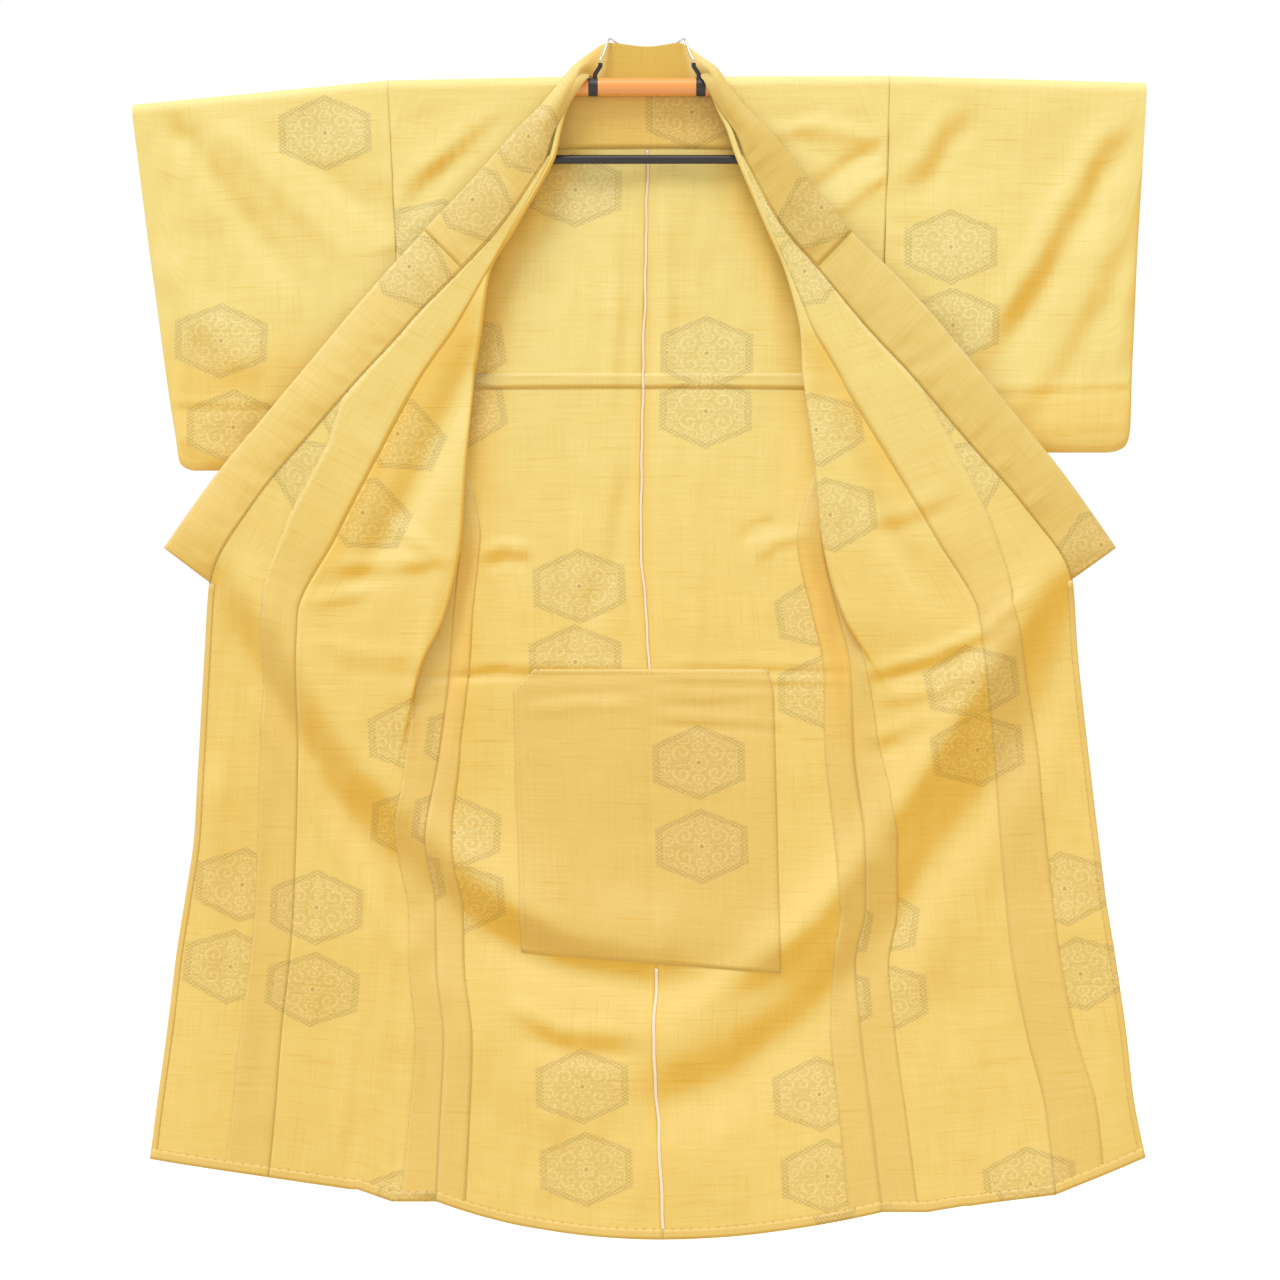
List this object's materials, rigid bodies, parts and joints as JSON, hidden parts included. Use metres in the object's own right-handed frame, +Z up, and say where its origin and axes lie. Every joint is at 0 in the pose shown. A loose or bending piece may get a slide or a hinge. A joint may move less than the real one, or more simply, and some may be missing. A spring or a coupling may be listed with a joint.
{
  "type": "tsumugi kimono on a kimono hanger",
  "caption": "Unlined woven silk kimono hung open on a straight kimono hanger, fronts and collar turned outwards, sleeves spread flat along the bar.",
  "frame": {"origin": "inner top of the hanger's eye, behind the back collar, where a hook or rod holds the hanger", "axes": "+Z up along the hanging garment, +X to the viewer's right along the bar, -Y towards the viewer, who sees the open fronts"},
  "size_m": [1.3444, 0.0762, 1.5998],
  "materials": {
    "gold_tsumugi": "matt slubby silk weave with woven hexagon and scroll patterns",
    "white_tape": "matt tape",
    "orange_tube": "satin tube",
    "black_plastic": "satin",
    "steel_wire": "plain wire"
  },
  "bodies": {
    "root": {"back_left": "gold_tsumugi", "back_right": "gold_tsumugi", "front_left": "gold_tsumugi", "front_right": "gold_tsumugi", "okumi_left": "gold_tsumugi", "okumi_right": "gold_tsumugi", "sleeve_left_front": "gold_tsumugi", "sleeve_left_back": "gold_tsumugi", "sleeve_right_front": "gold_tsumugi", "sleeve_right_back": "gold_tsumugi", "collar": "gold_tsumugi", "over_collar": "gold_tsumugi", "shoulder_lining": "gold_tsumugi", "seat_lining": "gold_tsumugi", "back_tuck_left": "gold_tsumugi", "back_tuck_right": "gold_tsumugi", "centre_tape_upper": "white_tape", "centre_tape_lower": "white_tape", "hanger_bar": "orange_tube", "hanger_arm_left": "orange_tube", "hanger_arm_right": "orange_tube", "hanger_ring_left": "black_plastic", "hanger_ring_right": "black_plastic", "hanger_stem_left": "black_plastic", "hanger_stem_right": "black_plastic", "obi_bar": "black_plastic", "obi_arm_left": "black_plastic", "obi_arm_right": "black_plastic", "hanger_wire_left": "steel_wire", "hanger_wire_right": "steel_wire", "hanger_eye": "steel_wire"}
  },
  "joints": []
}
